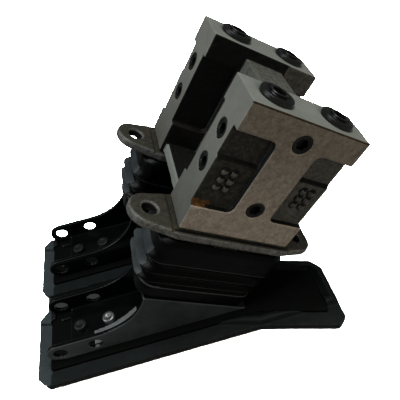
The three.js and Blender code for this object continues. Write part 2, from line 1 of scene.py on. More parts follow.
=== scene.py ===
"""Looks of the dual foot-pedal pilot valve: an iron valve body standing on two upturned pedals.

Shapes are made in millimetres, either in the valve's own frame (z along the spools) or in a
pedal's (x from the toe end, z from the floor), and placed in the row frame in metres.
"""
import math
import bpy  # noqa: E402
import numpy as np  # noqa: E402
from mathutils import Matrix, Vector  # noqa: E402


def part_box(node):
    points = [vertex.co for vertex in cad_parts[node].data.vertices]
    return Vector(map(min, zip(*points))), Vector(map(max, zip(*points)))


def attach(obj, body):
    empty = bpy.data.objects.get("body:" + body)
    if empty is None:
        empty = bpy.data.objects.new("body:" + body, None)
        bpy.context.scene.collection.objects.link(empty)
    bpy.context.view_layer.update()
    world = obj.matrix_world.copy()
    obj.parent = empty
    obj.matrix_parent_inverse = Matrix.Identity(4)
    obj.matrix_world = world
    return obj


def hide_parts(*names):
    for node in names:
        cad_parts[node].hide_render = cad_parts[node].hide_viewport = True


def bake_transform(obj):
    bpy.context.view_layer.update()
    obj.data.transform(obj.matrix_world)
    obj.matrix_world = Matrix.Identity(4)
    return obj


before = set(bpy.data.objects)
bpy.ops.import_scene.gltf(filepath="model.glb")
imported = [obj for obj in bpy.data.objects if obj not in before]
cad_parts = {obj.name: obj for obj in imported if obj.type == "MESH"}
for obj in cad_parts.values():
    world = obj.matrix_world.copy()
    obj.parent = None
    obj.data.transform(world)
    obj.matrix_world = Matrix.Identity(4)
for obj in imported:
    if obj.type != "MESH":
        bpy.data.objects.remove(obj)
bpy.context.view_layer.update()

# ---------------------------------------------------------------- driving dimensions, millimetres

MM = 0.001
TILT = math.radians(35.8)  # lean of the valve towards the heel end
TOE_X = 1000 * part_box("near_pad")[0].x
MID_Y = 1000 * (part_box("near_bracket")[0].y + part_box("far_bracket")[1].y) / 2
BASE = Vector((TOE_X + 217.4, MID_Y, 116.5))  # middle of the casting's foot
HALF_PITCH = 53.0
SIDES = {"near": -1, "far": 1}
ENDS = {"toe": -1, "heel": 1}

BLOCK_HALF = 55.0
BLOCK_DEPTH = 40.6
BLOCK_TOP = 122.7
INNER_FACE = HALF_PITCH - BLOCK_DEPTH / 2
OUTER_FACE = HALF_PITCH + BLOCK_DEPTH / 2
BORE_X = 29.0  # bores, port plugs, pushrods and springs lie this far on both sides of the pivot
EAR_X = 76.0
EAR_HOLE_R = 6.75
EAR_CHAMFER = 1.8
POCKET_STEP_Z = 72.5
LAND_X = 59.0  # where the flange's top face steps up to the ear
PORT_SEAT_Z = BLOCK_TOP - 0.3
FACE_PLUG_Z = {"upper": 103.7, "lower": 35.5}
SIDE_PLUG_Z = {"upper": 87.3, "lower": 56.4}

PAD_TOP = 19.0
TRAY_TOP = 16.4
BEND_X = (226.0, 222.0)  # where the near and far sides of a pedal turn
BRACKET_HALF = 29.5
BRACKET_SHEET = 4.0
BRACKET_FLOOR_Z = 16.6
BRACKET_FLOOR_TOP = BRACKET_FLOOR_Z + BRACKET_SHEET
BRACKET_FLOOR_X = (36.0, 150.0)
BASE_BOLT_X = {"toe": 47.0, "heel": 77.0}
BASE_BOLT_SEAT = BRACKET_FLOOR_TOP + 0.3
BOOT_FOOT_Z = -81.7
BOOT_HEAD_Z = -8.6

WELD_REACH = 0.02
CASTING_VOXEL = 0.9
BRACKET_VOXEL = 0.8
PAD_VOXEL = 1.0

VALVE = Matrix.Translation(BASE) @ Matrix.Rotation(TILT, 4, "Y")


def pedal_frame(side):
    """Millimetres in the pedal's own frame to millimetres in the row frame."""
    return Matrix.Translation((TOE_X, MID_Y + SIDES[side] * HALF_PITCH, 0))


# ---------------------------------------------------------------- meshes


def new_object(name, verts, faces):
    mesh = bpy.data.meshes.new(name)
    mesh.from_pydata([tuple(v) for v in verts], [], [tuple(f) for f in faces])
    mesh.validate()
    mesh.shade_smooth()
    obj = bpy.data.objects.new(name, mesh)
    bpy.context.scene.collection.objects.link(obj)
    return obj


def twin(obj, name):
    """A copy of a piece with a mesh of its own."""
    copy = obj.copy()
    copy.data = obj.data.copy()
    copy.name = name
    bpy.context.scene.collection.objects.link(copy)
    return copy


def place(obj, matrix):
    """Moves a mesh made in millimetres into the row frame in metres."""
    obj.data.transform(Matrix.Scale(MM, 4) @ matrix)


def cad_arrays(node, matrix):
    """Vertices and faces of a CAD node, in millimetres in the frame that matrix leads out of."""
    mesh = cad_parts[node].data
    inverse = matrix.inverted()
    verts = [inverse @ (v.co / MM) for v in mesh.vertices]
    return verts, [tuple(p.vertices) for p in mesh.polygons]


def merged(*shapes):
    verts, faces = [], []
    for shape_verts, shape_faces in shapes:
        first = len(verts)
        verts += list(shape_verts)
        faces += [tuple(first + i for i in f) for f in shape_faces]
    return verts, faces


def apply_modifiers(obj):
    graph = bpy.context.evaluated_depsgraph_get()
    baked = bpy.data.meshes.new_from_object(obj.evaluated_get(graph))
    obj.modifiers.clear()
    obj.data = baked


def remeshed(name, shape, voxel, rounds):
    """One even skin over closed shapes that may overlap, with its edges rounded a little."""
    obj = new_object(name, *shape)
    obj.modifiers.new("weld", "WELD").merge_threshold = WELD_REACH
    remesh = obj.modifiers.new("remesh", "REMESH")
    remesh.mode = "VOXEL"
    remesh.voxel_size = voxel
    obj.modifiers.new("smooth", "SMOOTH").iterations = rounds
    apply_modifiers(obj)
    obj.data.shade_smooth()
    return obj


def rows_of(items, attribute):
    """A vector that every item has, as rows of three numbers."""
    out = np.empty(len(items) * 3, np.float32)
    items.foreach_get(attribute, out)
    return out.reshape(-1, 3)


def points_of(obj):
    return rows_of(obj.data.vertices, "co").astype(float)


def normals_of(obj):
    return rows_of(obj.data.vertex_normals, "vector").astype(float)


def faces_of(obj):
    """The centre and the normal of every face."""
    return rows_of(obj.data.polygons, "center"), rows_of(obj.data.polygons, "normal")


def within(values, limits):
    low, high = limits
    return (values > low) & (values < high)


def set_points(obj, co):
    obj.data.vertices.foreach_set("co", co.astype(np.float32).ravel())
    obj.data.update()


LATTICE = 32


def lumps(points, size, seed):
    """Smooth random values from -1 to 1, with lumps about size millimetres across."""
    table = np.random.default_rng(seed).uniform(-1, 1, (LATTICE,) * 3)
    scaled = points / size
    low = np.floor(scaled).astype(int)
    part = scaled - low
    part = part * part * (3 - 2 * part)
    total = np.zeros(len(points))
    for corner in np.ndindex(2, 2, 2):
        at = (low + corner) % LATTICE
        weight = np.prod(np.where(np.array(corner) == 1, part, 1 - part), axis=1)
        total += weight * table[at[:, 0], at[:, 1], at[:, 2]]
    return total


def box_shape(x0, x1, y0, y1, z0, z1):
    verts = [(x, y, z) for z in (z0, z1) for y in (y0, y1) for x in (x0, x1)]
    faces = [(0, 2, 3, 1), (4, 5, 7, 6), (0, 1, 5, 4), (2, 6, 7, 3), (0, 4, 6, 2), (1, 3, 7, 5)]
    return verts, faces


def dome_shape(centre, radius, reach, outward, count=16, levels=4):
    """Half an ellipsoid on a foot one millimetre deep, standing out along the unit vector outward."""
    outward = Vector(outward)
    first = outward.orthogonal().normalized()
    second = outward.cross(first)
    centre = Vector(centre) - outward
    verts = []
    for level in range(levels):
        angle = level / levels * math.pi / 2
        ring = radius * math.cos(angle)
        rise = 1 + reach * math.sin(angle) if level else 0.001
        for i in range(count):
            turn = 2 * math.pi * i / count
            verts.append(centre + outward * rise
                         + ring * (first * math.cos(turn) + second * math.sin(turn)))
    verts += [centre + outward * (1 + reach), centre]
    faces = []
    for level in range(levels - 1):
        for i in range(count):
            j = (i + 1) % count
            a, b = level * count, (level + 1) * count
            faces.append((a + i, a + j, b + j, b + i))
    last = (levels - 1) * count
    for i in range(count):
        j = (i + 1) % count
        faces.append((last + i, last + j, levels * count))
        faces.append((j, i, levels * count + 1))
    return verts, faces


# ---------------------------------------------------------------- materials


class Shader:
    """A Principled material built from small node chains in object coordinates."""

    def __init__(self, name, **sockets):
        self.material = bpy.data.materials.new(name)
        self.material.use_nodes = True
        self.tree = self.material.node_tree
        self.bsdf = self.tree.nodes["Principled BSDF"]
        self.height = None
        for socket, value in sockets.items():
            self.bsdf.inputs[socket.replace("_", " ")].default_value = value
        self.place = self.node("ShaderNodeTexCoord").outputs["Object"]

    def node(self, kind, links=None, **values):
        made = self.tree.nodes.new(kind)
        for key, value in values.items():
            setattr(made, key, value)
        for socket, source in (links or {}).items():
            target = made.inputs[socket]
            if isinstance(source, bpy.types.NodeSocket):
                self.tree.links.new(source, target)
            else:
                target.default_value = source
        return made

    def valve_place(self):
        """Object coordinates turned into the valve's frame."""
        turned = self.node("ShaderNodeMapping", {"Vector": self.place, "Rotation": (0, -TILT, 0)})
        return turned.outputs["Vector"]

    def noise(self, size, detail=4.0, rough=0.55, distort=0.0):
        """Noise with lumps about size millimetres across."""
        links = {"Vector": self.place, "Scale": 1000 / size, "Detail": detail,
                 "Roughness": rough, "Distortion": distort}
        return self.node("ShaderNodeTexNoise", links).outputs["Fac"]

    def cells(self, size):
        made = self.node("ShaderNodeTexVoronoi", {"Vector": self.place, "Scale": 1000 / size})
        return made.outputs["Distance"]

    def lines(self, size, place, axis):
        """Nearly straight bands across an axis, like a cutter's marks."""
        links = {"Vector": place, "Scale": 1000 / size / 3, "Distortion": 0.3, "Detail": 2.0}
        made = self.node("ShaderNodeTexWave", links, wave_type="BANDS", bands_direction=axis)
        return made.outputs["Fac"]

    def ramp(self, source, *stops):
        """Turns a value into a colour; a stop is a position and a colour."""
        made = self.node("ShaderNodeValToRGB", {"Fac": source})
        elements = made.color_ramp.elements
        while len(elements) < len(stops):
            elements.new(0.5)
        for element, (position, color) in zip(elements, stops):
            element.position = position
            element.color = (*color, 1)
        return made.outputs["Color"]

    def spread(self, source, low, high, to_low, to_high):
        links = {"Value": source, "From Min": low, "From Max": high, "To Min": to_low, "To Max": to_high}
        return self.node("ShaderNodeMapRange", links).outputs["Result"]

    def mix(self, factor, first, second, blend="MIX"):
        made = self.node("ShaderNodeMix", data_type="RGBA", blend_type=blend)
        # this node has sockets of the same name for every data type, so they go by number
        for index, source in ((0, factor), (6, first), (7, second)):
            target = made.inputs[index]
            if isinstance(source, bpy.types.NodeSocket):
                self.tree.links.new(source, target)
            else:
                target.default_value = (*source, 1) if isinstance(source, tuple) else source
        return made.outputs[2]

    def edges(self, low, high):
        """0 on flats to 1 on outward edges."""
        made = self.node("ShaderNodeNewGeometry")
        return self.spread(made.outputs["Pointiness"], low, high, 0.0, 1.0)

    def fade(self, color, place, axis, start, end, first, last):
        """Scales a colour from first to last between two places along an axis, in millimetres."""
        parts = self.node("ShaderNodeSeparateXYZ", {"Vector": place})
        along = self.spread(parts.outputs[axis], start * MM, end * MM, 0.0, 1.0)
        tone = self.ramp(along, (0.0, (first,) * 3), (1.0, (last,) * 3))
        return self.mix(1.0, color, tone, "MULTIPLY")

    def bump(self, source, strength, distance):
        links = {"Height": source, "Strength": strength, "Distance": distance * MM}
        if self.height is not None:
            links["Normal"] = self.height
        self.height = self.node("ShaderNodeBump", links).outputs["Normal"]

    def finish(self, color, rough):
        self.tree.links.new(color, self.bsdf.inputs["Base Color"])
        self.tree.links.new(rough, self.bsdf.inputs["Roughness"])
        if self.height is not None:
            self.tree.links.new(self.height, self.bsdf.inputs["Normal"])
        return self.material


RUST = (0.085, 0.045, 0.014)
DUST = (0.05, 0.05, 0.042)
VALVE_FOOT = (Matrix.Rotation(-TILT, 3, "Y") @ BASE).z  # height of the casting's foot in valve_place


def cast_skin(name, dark, mid, light, rust, grain=0.35, edge=1.15, foot=1.0, head=1.0):
    """Sand-cast iron: mottled grey-brown with pits and rust; foot and head scale it by height; edge lightens
    outward edges, partly polish from wear and partly a painted highlight.
    """
    s = Shader(name, Metallic=0.25, Specular_IOR_Level=0.45)
    mottle = s.noise(4.2, 5.0, 0.7)
    color = s.ramp(mottle, (0.36, dark), (0.5, mid), (0.64, light))
    cloud = s.noise(22.0, 4.0, 0.6)
    color = s.mix(s.spread(cloud, 0.4, 0.65, 0.0, 0.45), color, mid)
    speckle = s.noise(1.5, 3.0, 0.7)
    color = s.mix(s.spread(speckle, 0.5, 0.66, 0.0, 0.8), color, dark)
    bright = s.noise(1.2, 2.0, 0.6)
    color = s.mix(s.spread(bright, 0.58, 0.7, 0.0, 0.6), color, light)
    patches = s.noise(26.0, 5.0, 0.7, distort=0.6)
    color = s.mix(s.spread(patches, 0.57, 0.68, 0.0, rust), color, RUST)
    if foot != head:
        color = s.fade(color, s.valve_place(), "Z", VALVE_FOOT + 15, VALVE_FOOT + 105, foot, head)
    color = s.mix(s.edges(0.53, 0.62), color, tuple(edge * c for c in light))
    s.bump(s.noise(1.3, 4.0, 0.6), grain, 0.6)
    s.bump(s.cells(3.4), 0.25, 0.5)
    s.bump(s.noise(14.0, 3.0), 0.3, 1.2)
    return s.finish(color, s.spread(mottle, 0.3, 0.7, 0.7, 0.48))


def machined(name, base, axis, cloud_size, metallic, foot=1.0, gloss=0.2):
    """A milled iron face: fine parallel cutter marks, handling stains, a few dark pores and a painted
    highlight on outward edges.
    """
    s = Shader(name, Metallic=metallic, Specular_IOR_Level=gloss)
    valve = s.valve_place()
    marks = s.lines(0.9, valve, axis)
    cloud = s.noise(cloud_size, 5.0, 0.6, distort=0.5)
    dark = tuple(0.62 * c for c in base)
    warm = (base[0] * 0.86, base[1] * 0.76, base[2] * 0.6)
    color = s.ramp(cloud, (0.3, tuple(0.84 * c for c in base)), (0.75, tuple(1.1 * c for c in base)))
    color = s.mix(s.spread(s.noise(7.0, 4.0, 0.7), 0.52, 0.7, 0.0, 0.5), color, warm)
    color = s.mix(s.spread(s.noise(1.2, 2.0), 0.62, 0.72, 0.0, 0.7), color, dark)
    color = s.mix(s.spread(marks, 0.0, 1.0, 0.0, 0.16), color, dark)
    if foot != 1.0:
        color = s.fade(color, valve, "Z", VALVE_FOOT + 10, VALVE_FOOT + 90, foot, 1.0)
    color = s.mix(s.edges(0.55, 0.66), color, (0.29, 0.295, 0.275))
    s.bump(marks, 0.12, 0.12)
    s.bump(s.noise(1.5, 3.0), 0.12, 0.3)
    return s.finish(color, s.spread(cloud, 0.3, 0.7, 0.58, 0.44))


def gloss_paint(name, base, rough, edge, along=None):
    """Enamel on sheet steel: orange peel, a little dust and a painted highlight on the edges; along scales it
    from toe to heel as painted light and shade.
    """
    s = Shader(name, Specular_IOR_Level=0.2)
    cloud = s.noise(30.0, 4.0, 0.6)
    color = s.ramp(cloud, (0.3, tuple(0.7 * c for c in base)), (0.7, tuple(1.4 * c for c in base)))
    dust = s.spread(s.noise(1.3, 3.0, 0.7), 0.68, 0.78, 0.0, 0.35)
    color = s.mix(dust, color, (0.05, 0.054, 0.05))
    if along:
        color = s.fade(color, s.place, "X", TOE_X + 20, TOE_X + 130, *along)
    color = s.mix(s.edges(0.53, 0.62), color, (edge, 1.06 * edge, 1.08 * edge))
    s.bump(s.noise(5.0, 2.0), 0.08, 0.6)
    s.bump(s.noise(1.0, 2.0), 0.05, 0.15)
    return s.finish(color, s.spread(s.noise(18.0, 5.0, 0.6), 0.3, 0.7, rough * 0.7, rough * 1.5))


def rubber(name, base, rough, grain, dusty, gloss, along=None):
    """Moulded rubber: fine grain, specks of dust and paler edges, a painted highlight; along scales it from
    toe to heel as painted light and shade.
    """
    s = Shader(name, Specular_IOR_Level=gloss)
    cloud = s.noise(22.0, 5.0, 0.65)
    color = s.ramp(cloud, (0.3, tuple(0.75 * c for c in base)), (0.7, tuple(1.35 * c for c in base)))
    color = s.mix(s.spread(s.noise(1.4, 3.0, 0.7), 0.62, 0.75, 0.0, dusty), color, DUST)
    if along:
        color = s.fade(color, s.place, "X", TOE_X + 10, TOE_X + 200, *along)
    color = s.mix(s.edges(0.53, 0.63), color, tuple(2.2 * c for c in base))
    s.bump(s.noise(grain, 3.0, 0.6), 0.3, 0.25)
    s.bump(s.noise(8.0, 2.0), 0.12, 0.6)
    return s.finish(color, s.spread(cloud, 0.3, 0.7, rough * 1.12, rough * 0.85))


def turned(name, base, metallic, rough, stains, edge=0.03, gloss=0.5):
    """Turned or drawn metal: a fine grain, oil stains and brighter edges, a painted highlight."""
    s = Shader(name, Metallic=metallic, Specular_IOR_Level=gloss)
    fine = s.noise(0.7, 3.0, 0.7)
    cloud = s.noise(6.0, 4.0, 0.6, distort=0.4)
    color = s.ramp(cloud, (0.3, tuple(0.7 * c for c in base)), (0.7, tuple(1.2 * c for c in base)))
    color = s.mix(s.spread(fine, 0.55, 0.75, 0.0, 0.4), color, stains)
    color = s.mix(s.edges(0.53, 0.64), color, tuple(min(1.0, 1.6 * c + edge) for c in base))
    s.bump(fine, 0.1, 0.1)
    s.bump(s.noise(3.0, 2.0), 0.06, 0.3)
    return s.finish(color, s.spread(cloud, 0.3, 0.7, rough * 1.3, rough * 0.8))


MATERIALS = {
    "port_face": machined("port_face", (0.215, 0.228, 0.207), "X", 24.0, 0.0, gloss=0.05),
    "side_face": machined("side_face", (0.235, 0.235, 0.212), "Y", 17.0, 0.25, 0.6),
    "cast_front": cast_skin("cast_front", (0.2, 0.17, 0.135), (0.285, 0.246, 0.198), (0.37, 0.325, 0.27),
                            0.25, foot=1.08, head=0.58),
    "cast_skin": cast_skin("cast_skin", (0.06, 0.06, 0.048), (0.108, 0.11, 0.094), (0.165, 0.168, 0.147),
                           0.4, 0.5),
    "flange_skin": cast_skin("flange_skin", (0.023, 0.021, 0.014), (0.043, 0.041, 0.03),
                             (0.074, 0.071, 0.057), 0.25, edge=2.6),
    "flange_edge": cast_skin("flange_edge", (0.05, 0.049, 0.043), (0.112, 0.112, 0.101),
                             (0.185, 0.185, 0.17), 0.15, edge=2.4),
    "pocket_skin": cast_skin("pocket_skin", (0.03, 0.029, 0.024), (0.06, 0.058, 0.049),
                             (0.1, 0.097, 0.084), 0.15, 0.5, 2.6),
    "dark_skin": cast_skin("dark_skin", (0.0065, 0.0065, 0.0048), (0.0165, 0.0163, 0.0125),
                           (0.038, 0.037, 0.03), 0.15, 0.5, 2.8),
    # near black: painted shade in the hollows of the casting and the flanges and between the blocks
    "painted_shade": cast_skin("painted_shade", (0.0008, 0.0008, 0.0006), (0.002, 0.002, 0.0015),
                            (0.005, 0.0047, 0.004), 0.1, 0.5, 2.0),
    "rusty_edge": cast_skin("rusty_edge", (0.012, 0.008, 0.004), (0.03, 0.02, 0.01),
                            (0.06, 0.045, 0.028), 0.5),
    "black_paint": gloss_paint("black_paint", (0.0016, 0.002, 0.002), 0.16, 0.16),
    "tray_black": rubber("tray_black", (0.0012, 0.0015, 0.0012), 0.62, 1.2, 0.08, 0.04),
    "boot_rubber": rubber("boot_rubber", (0.0008, 0.0011, 0.0009), 0.36, 0.9, 0.05, 0.1),
    # painted highlight on the boots' fold crests
    "crest_highlight": rubber("crest_highlight", (0.042, 0.047, 0.047), 0.5, 0.9, 0.3, 0.2),
    # painted sheen on the boots' toe ends
    "toe_sheen": rubber("toe_sheen", (0.045, 0.052, 0.056), 0.5, 0.9, 0.3, 0.2),
    # painted glint on the near bracket's floor
    "floor_glint": gloss_paint("floor_glint", (0.16, 0.17, 0.17), 0.3, 0.3),
    # the pad rubber darkens from toe to heel as painted shade
    "pad_rubber": rubber("pad_rubber", (0.0095, 0.0122, 0.012), 0.46, 0.8, 0.2, 0.1, (0.8, 0.55)),
    # painted sheen on the pads' rims, fading towards the heel
    "rim_sheen": rubber("rim_sheen", (0.034, 0.042, 0.044), 0.5, 0.8, 0.2, 0.1, (1.05, 0.12)),
    "pad_shade": rubber("pad_shade", (0.0028, 0.0036, 0.0034), 0.5, 0.8, 0.1, 0.08),
    "rust_stain": cast_skin("rust_stain", (0.03, 0.012, 0.003), (0.09, 0.04, 0.009), (0.17, 0.08, 0.02), 0.6),
    "pip_skin": cast_skin("pip_skin", (0.03, 0.03, 0.025), (0.075, 0.073, 0.062), (0.14, 0.137, 0.12), 0.1),
    # painted glint for the one bolt that catches the light
    "glint_bolt": turned("glint_bolt", (0.17, 0.175, 0.175), 0.85, 0.36, (0.08, 0.08, 0.07)),
    "dull_bolt": turned("dull_bolt", (0.012, 0.013, 0.013), 0.5, 0.4, (0.006, 0.006, 0.005), 0.02, 0.3),
    # painted sheen on the near bracket's outer faces, fading into painted shade towards the heel
    "plate_sheen": gloss_paint("plate_sheen", (0.04, 0.048, 0.05), 0.42, 0.2, (1.3, 0.5)),
    "black_oxide": turned("black_oxide", (0.0035, 0.0042, 0.004), 0.0, 0.3, (0.01, 0.01, 0.009), 0.03, 0.25),
    "forged_steel": turned("forged_steel", (0.08, 0.078, 0.072), 0.6, 0.55, (0.04, 0.035, 0.028)),
    "ground_steel": turned("ground_steel", (0.55, 0.55, 0.54), 1.0, 0.24, (0.34, 0.32, 0.28)),
    "spring_steel": turned("spring_steel", (0.28, 0.28, 0.3), 1.0, 0.3, (0.12, 0.11, 0.1)),
    "bronze": turned("bronze", (0.5, 0.35, 0.16), 1.0, 0.32, (0.26, 0.17, 0.07)),
}


def dress(obj, *names):
    obj.data.materials.clear()
    for name in names:
        obj.data.materials.append(MATERIALS[name])


def paint(obj, skins, masks=()):
    """The first skin all over, then the faces of each mask in the skin named with it, in turn."""
    dress(obj, *skins)
    slot = np.zeros(len(obj.data.polygons), np.int32)
    for skin, mask in masks:
        slot[mask] = skins.index(skin)
    obj.data.polygons.foreach_set("material_index", slot)


# ---------------------------------------------------------------- valve casting and flange plates

PIP_ROWS = (-7.6, 0.0, 7.6)
PIP_COLUMNS = (-4.3, 4.3)
PIP_X = 38.0
PIP_Z = {-1: 54.0, 1: 55.0}  # middle of the pips in the toe and the heel pocket
PIP_R = 3.2
PIP_HEIGHT = 2.6
PIP_SEAT = OUTER_FACE - 5.0


def pips():
    """Raised pips in the outer pockets, where a foundry puts its marks."""
    shapes = []
    for side in SIDES.values():
        for hand, z in PIP_Z.items():
            for column in PIP_COLUMNS:
                for row in PIP_ROWS:
                    centre = (hand * PIP_X + column, side * PIP_SEAT, z + row)
                    shapes.append(dome_shape(centre, PIP_R, PIP_HEIGHT, (0, side, 0)))
    return shapes


CASTING_SKINS = ("cast_skin", "cast_front", "port_face", "side_face", "dark_skin", "rusty_edge",
                 "painted_shade", "rust_stain", "pip_skin", "pocket_skin")
BORE_RIM_R = 15.5  # kept smooth round each bore
FRONT_SKIN = 1.2  # depth of the front's own skin
POCKET_Z = (24.0, BLOCK_TOP - 20)
DARK_Z = (26.0, BLOCK_TOP - 22)  # recessed faces between these are dark
HEEL_INSIDE = (22.0, 40.0)  # x and z past which the blocks' inner faces are painted lighter: painted light
FLOOR_WEB_END_X = (48.6, 51.0)
FLOOR_WEB_Z = 12.0
WALL_FACE_X = (18.0, 19.6)  # flat faces of the wall that joins the blocks
WALL_Z = 9.0
POCKET_WALL_X = 30.0  # the toe pockets' walls next to the middle lie within this
STAIN_X, STAIN_WAVE, STAIN_Z = -40.0, 3.0, 31.5  # rust on the floor of the toe pockets


def from_pips(centre):
    """Distance from each face of the casting to the nearest pip's axis."""
    hand = np.sign(centre[:, 0])
    middle = np.where(centre[:, 0] < 0, PIP_Z[-1], PIP_Z[1])
    nearest = np.full(len(centre), np.inf)
    for column in PIP_COLUMNS:
        for row in PIP_ROWS:
            across = centre[:, 0] - hand * PIP_X - column
            nearest = np.minimum(nearest, np.hypot(across, centre[:, 2] - middle - row))
    return nearest


def casting_masks(centre, facing):
    """Which faces of the casting get which skin, for paint."""
    x, y, z = np.abs(centre[:, 0]), np.abs(centre[:, 1]), centre[:, 2]
    ends, sides, up = np.abs(facing[:, 0]), np.abs(facing[:, 1]), facing[:, 2]
    between = (x < BLOCK_HALF - 1) & (y < INNER_FACE + 6)
    behind_front = (y > HALF_PITCH) & (y <= OUTER_FACE - FRONT_SKIN)
    heel_inside = between & (centre[:, 0] > HEEL_INSIDE[0]) & (z > HEEL_INSIDE[1]) & (sides > 0.5)
    web_end = within(x, FLOOR_WEB_END_X) & (y < 33) & (z < FLOOR_WEB_Z) & (ends > 0.35)
    wall_face = between & within(x, WALL_FACE_X) & (ends > 0.6) & (z > WALL_Z) & (y < 32)
    in_pocket = within(y, (HALF_PITCH, OUTER_FACE - 0.9)) & within(z, POCKET_Z)
    off_pip = from_pips(centre)
    at_step = (np.abs(z - POCKET_STEP_Z) < 1.5) & (ends < 0.5)
    pocket_wall = (facing[:, 0] < -0.5) & (x < POCKET_WALL_X)
    stain = (centre[:, 0] < STAIN_X - STAIN_WAVE * np.sin(z)) & (x < BLOCK_HALF - 0.6) & (z < STAIN_Z)
    return [
        ("cast_front", y > OUTER_FACE - FRONT_SKIN),
        ("dark_skin", behind_front & within(z, DARK_Z)),
        # painted shade: the faces between the blocks are near black
        ("painted_shade", between & ((z < BLOCK_TOP - 12) | (sides > 0.5))),
        # painted light: the heel end of the blocks' inner faces is lighter
        ("pocket_skin", heel_inside),
        ("port_face", (z > BLOCK_TOP - 1.0) & (up > 0.7)),
        ("side_face", (x > BLOCK_HALF - 0.8) & (ends > 0.7)),
        ("port_face", web_end),
        ("rusty_edge", (z > BLOCK_TOP - 1.8) & (y > OUTER_FACE - 0.9) & (up < 0.7)),
        ("cast_skin", wall_face),
        ("pocket_skin", in_pocket & (centre[:, 0] > 0)),
        # painted shadow round the pips
        ("painted_shade", in_pocket & (off_pip < PIP_R + 1.3)),
        ("pip_skin", in_pocket & (off_pip < PIP_R + 0.3) & (y > PIP_SEAT + 0.7)),
        # painted shade on the pocket's upward faces, its step and its walls
        ("painted_shade", in_pocket & ((up > 0.5) | at_step | pocket_wall)),
        ("rust_stain", in_pocket & stain),
    ]


def build_casting():
    shape = merged(cad_arrays("valve_casting", VALVE), *pips())
    obj = remeshed("valve_casting_skin", shape, CASTING_VOXEL, 3)
    co, normal = points_of(obj), normals_of(obj)
    milled = (co[:, 2] > BLOCK_TOP - 1.2) | (np.abs(co[:, 0]) > BLOCK_HALF - 1.0)
    recessed = np.abs(co[:, 1]) < OUTER_FACE - 1.5
    at_bore = np.hypot(np.abs(co[:, 0]) - BORE_X, np.abs(co[:, 1]) - HALF_PITCH) < BORE_RIM_R
    depth = np.where(recessed, 0.28, 0.09) * ~milled * ~at_bore
    rough = lumps(co, 2.6, 3) * 0.6 + lumps(co, 7.0, 4) * 0.7
    set_points(obj, co + normal * (depth * rough)[:, None])
    paint(obj, CASTING_SKINS, casting_masks(*faces_of(obj)))
    place(obj, VALVE)
    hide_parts("valve_casting")
    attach(obj, "valve_body")


FLANGE_SKINS = ("flange_skin", "painted_shade", "rusty_edge", "flange_edge")
UNDER_BLOCK_X = 57.0  # the part of the flange that the block covers


def flange_masks(side, centre, facing):
    x, up = np.abs(centre[:, 0]), np.abs(facing[:, 2])
    from_ear = np.hypot(x - EAR_X, np.abs(centre[:, 1]) - HALF_PITCH)
    from_block = SIDES[side] * centre[:, 1] - OUTER_FACE
    return [
        ("flange_edge", (up < 0.85) & (from_ear > EAR_HOLE_R + 4)),
        ("flange_edge", (up < 0.95) & (from_ear < EAR_HOLE_R + EAR_CHAMFER + 0.4)),
        # painted shade on the walls of the ear hole
        ("painted_shade", (from_ear < EAR_HOLE_R + 0.5) & (up < 0.5)),
        ("rusty_edge", (np.abs(x - LAND_X) < 0.8) & (centre[:, 2] > -1.2)),
        # painted contact shadow on the flange top along the block's foot
        ("painted_shade", within(from_block, (-1, 1.8)) & (centre[:, 2] > -1) & (x < UNDER_BLOCK_X)),
    ]


def build_flange(side):
    node = f"{side}_flange_plate"
    obj = remeshed(f"{node}_skin", cad_arrays(node, VALVE), CASTING_VOXEL, 3)
    co, normal = points_of(obj), normals_of(obj)
    hidden = (np.abs(co[:, 0]) < UNDER_BLOCK_X) & (co[:, 2] > -2)
    rough = (lumps(co, 2.4, 5) * 0.5 + lumps(co, 8.0, 6) * 0.5) * 0.14 * ~hidden
    from_ear = np.hypot(np.abs(co[:, 0]) - EAR_X, np.abs(co[:, 1]) - HALF_PITCH)
    near_rim = np.clip(EAR_HOLE_R + EAR_CHAMFER - from_ear, 0, EAR_CHAMFER) * (co[:, 2] > -0.6)
    co[:, 2] -= 0.8 * near_rim
    set_points(obj, co + normal * rough[:, None])
    paint(obj, FLANGE_SKINS, flange_masks(side, *faces_of(obj)))
    place(obj, VALVE)
    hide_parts(node)
    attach(obj, "valve_body")


# ---------------------------------------------------------------- plugs and bolts

RING = 48


def turned_head(name, profile, key, key_depth):
    """A turned piece with a hexagon socket in its top; profile is radius and z from the bottom up."""
    turns = [2 * math.pi * i / RING for i in range(RING)]
    top = profile[-1][1]
    verts = []
    for radius, z in profile:
        verts += [(radius * math.cos(a), radius * math.sin(a), z) for a in turns]
    for z in (top - 0.5, top - key_depth):
        for a in turns:
            radius = key / 2 / math.cos((a % (math.pi / 3)) - math.pi / 6)
            verts.append((radius * math.cos(a), radius * math.sin(a), z))
    rings = len(profile) + 2
    faces = []
    for ring in range(rings - 1):
        for i in range(RING):
            j = (i + 1) % RING
            a, b = ring * RING, (ring + 1) * RING
            faces.append((a + i, a + j, b + j, b + i))
    verts += [(0, 0, profile[0][1]), (0, 0, top - key_depth - 0.8)]
    last = (rings - 1) * RING
    for i in range(RING):
        j = (i + 1) % RING
        faces.append((j, i, rings * RING))
        faces.append((last + i, last + j, rings * RING + 1))
    obj = new_object(name, verts, faces)
    obj.data.set_sharp_from_angle(angle=math.radians(38))
    return obj


PORT_PLUG = [(10.2, -13.5), (11.0, -12.7), (11.0, 0.0), (13.4, 0.0), (13.9, 0.5), (13.9, 3.1),
             (13.5, 3.8), (12.8, 4.1), (9.8, 4.1), (9.3, 3.6), (8.0, 3.6), (7.6, 4.0), (7.6, 5.1),
             (7.1, 5.6), (6.2, 5.6)]
BOLT_HEAD = [(4.0, -7.0), (4.0, 0.0), (6.0, 0.0), (6.5, 0.4), (6.5, 3.7), (6.2, 4.5), (5.5, 5.0),
             (3.3, 5.0)]
FLUSH_LENGTH = 8.0


